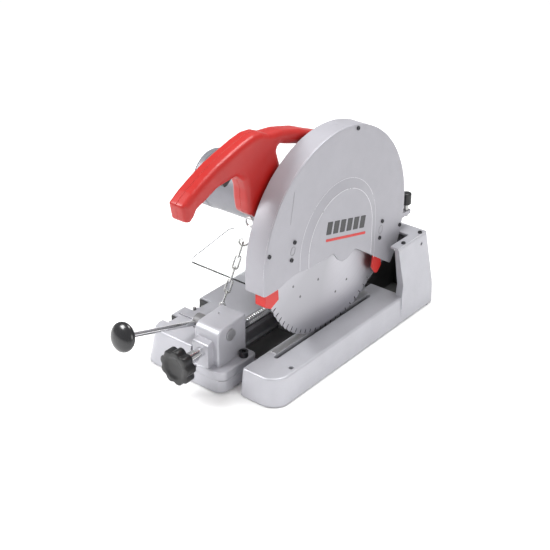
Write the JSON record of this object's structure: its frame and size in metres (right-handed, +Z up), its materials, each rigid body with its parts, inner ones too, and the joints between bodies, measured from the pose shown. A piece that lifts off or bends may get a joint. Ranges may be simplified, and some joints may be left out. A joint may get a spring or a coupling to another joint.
{
  "type": "abrasive chop saw",
  "caption": "Bench chop saw for metal: toothed blade in a hinged guard, side motor, red loop handle, base with a quick-release screw vise and a swivelling fence.",
  "frame": {"origin": "on the bench surface under the centre of the base", "axes": "+X to the operator's right, towards the blade side; +Y away from the operator, towards the hinge tower; +Z up"},
  "size_m": [0.3355, 0.6479, 0.4539],
  "materials": {
    "cast_base": "painted silver casting",
    "silver_paint": "satin silver paint",
    "case_aluminium": "cast, lightly blasted",
    "steel": "machined",
    "blade_steel": "ground",
    "chrome": "plated",
    "fasteners": "zinc plated",
    "jaw_iron": "painted dark grey",
    "spring_steel": "oiled",
    "black_plastic": "moulded",
    "black_knob": "polished",
    "red_plastic": "glossy moulding",
    "red_paint": "painted red",
    "clear_plastic": "clear polycarbonate",
    "rubber": "moulded",
    "tray_steel": "black paint",
    "laminations": "stacked sheet",
    "copper": "copper segments",
    "carbon": "pressed carbon"
  },
  "bodies": {
    "base": {"base_casting": "cast_base", "tower_top_plate": "cast_base", "tower_screws": "fasteners", "rubber_pads": "rubber", "floor_plate": "steel", "guide_bars": "steel", "slot_strip": "steel", "vise_block": "cast_base", "vise_flange_bolts": "fasteners", "pivot_shaft": "steel", "return_spring": "spring_steel", "fence_pivot_bolt": "fasteners", "chain_anchor": "steel"},
    "chip_drawer": {"chip_tray": "tray_steel"},
    "jaw": {"vise_jaw": "jaw_iron"},
    "vise_spindle": {"vise_screw": "chrome", "vise_knob": "black_plastic"},
    "lever": {"lever_cam_shaft": "steel", "lever_hub": "jaw_iron", "lever_rod": "chrome", "lever_knob": "black_knob"},
    "half_nut": {"half_nut": "steel"},
    "fence": {"vise_fence": "case_aluminium", "fence_clamp_bolt": "fasteners"},
    "chain": {"chain_links": "chrome"},
    "head": {"gear_case": "case_aluminium", "motor_housing": "silver_paint", "motor_end_cap": "silver_paint", "motor_stator": "laminations", "small_ball_bearings": "steel", "carbon_brushes": "carbon", "brush_holders": "black_plastic", "brush_caps": "black_plastic", "spindle_bearings": "steel", "guard_housing": "silver_paint", "guard_cover": "silver_paint", "guard_cover_screws": "fasteners", "red_flaps": "red_paint", "handle_left": "red_plastic", "handle_right": "red_plastic", "handle_screws": "fasteners", "handle_switch": "black_plastic", "cable_gland": "rubber", "clear_shield": "clear_plastic", "shield_bracket": "silver_paint", "carry_eye": "steel", "rear_knob_stem": "fasteners", "rear_knob": "black_plastic"},
    "blade": {"blade_spindle": "steel", "spindle_gear": "steel", "saw_blade": "blade_steel", "blade_flanges": "steel", "arbor_bolt": "fasteners"},
    "countershaft": {"counter_shaft": "steel", "counter_gear": "steel"},
    "rotor": {"armature_shaft": "steel", "armature_core": "laminations", "commutator": "copper", "cooling_fan": "black_plastic"},
    "trigger": {"trigger": "black_plastic"}
  },
  "joints": [
    {"name": "head_tilt", "type": "hinge", "parent": "base", "child": "head", "pos_m": [0.04, 0.204, 0.139], "axis": [-1, 0, 0], "range_deg": [0, 50]},
    {"name": "blade_spin", "type": "hinge", "parent": "head", "child": "blade", "pos_m": [0.06, -0.008, 0.2243], "axis": [1, 0, 0], "continuous": true},
    {"name": "countershaft_spin", "type": "hinge", "parent": "head", "child": "countershaft", "pos_m": [0.04, 0.0322, 0.2422], "axis": [1, 0, 0], "continuous": true},
    {"name": "rotor_spin", "type": "hinge", "parent": "head", "child": "rotor", "pos_m": [-0.06, 0.001, 0.253], "axis": [1, 0, 0], "continuous": true},
    {"name": "trigger_squeeze", "type": "hinge", "parent": "head", "child": "trigger", "pos_m": [0.042, -0.206, 0.403], "axis": [-1, 0, 0], "range_deg": [0, 9], "stiffness_Nm_per_rad": 0.8, "springref_deg": -11.46},
    {"name": "jaw_slide", "type": "slide", "parent": "base", "child": "jaw", "axis": [0, 1, 0], "range_m": [-0.1, 0.015]},
    {"name": "screw_turn", "type": "hinge", "parent": "jaw", "child": "vise_spindle", "pos_m": [-0.005, -0.1, 0.067], "axis": [0, 1, 0], "range_deg": [-3960, 720]},
    {"name": "lever_turn", "type": "hinge", "parent": "base", "child": "lever", "pos_m": [-0.02, -0.195, 0.09], "axis": [-1, 0, 0], "range_deg": [0, 75]},
    {"name": "half_nut_lift", "type": "slide", "parent": "base", "child": "half_nut", "axis": [0, 0, 1], "range_m": [0, 0.003]},
    {"name": "fence_swing", "type": "hinge", "parent": "base", "child": "fence", "pos_m": [-0.035, 0.045, 0.07], "axis": [0, 0, 1], "range_deg": [0, 45]},
    {"name": "drawer_slide", "type": "slide", "parent": "base", "child": "chip_drawer", "axis": [0, 1, 0], "range_m": [0, 0.12]},
    {"name": "chain_swing", "type": "hinge", "parent": "base", "child": "chain", "pos_m": [-0.051, -0.14, 0.076], "axis": [0, -1, 0], "range_deg": [0, 15]}
  ],
  "couplings": [
    {"joint": "countershaft_spin", "follows": "blade_spin", "ratio": -3},
    {"joint": "rotor_spin", "follows": "blade_spin", "ratio": 12},
    {"joint": "screw_turn", "follows": "jaw_slide", "rad_per_m": 600},
    {"joint": "half_nut_lift", "follows": "lever_turn", "m_per_rad": 0.0022}
  ]
}
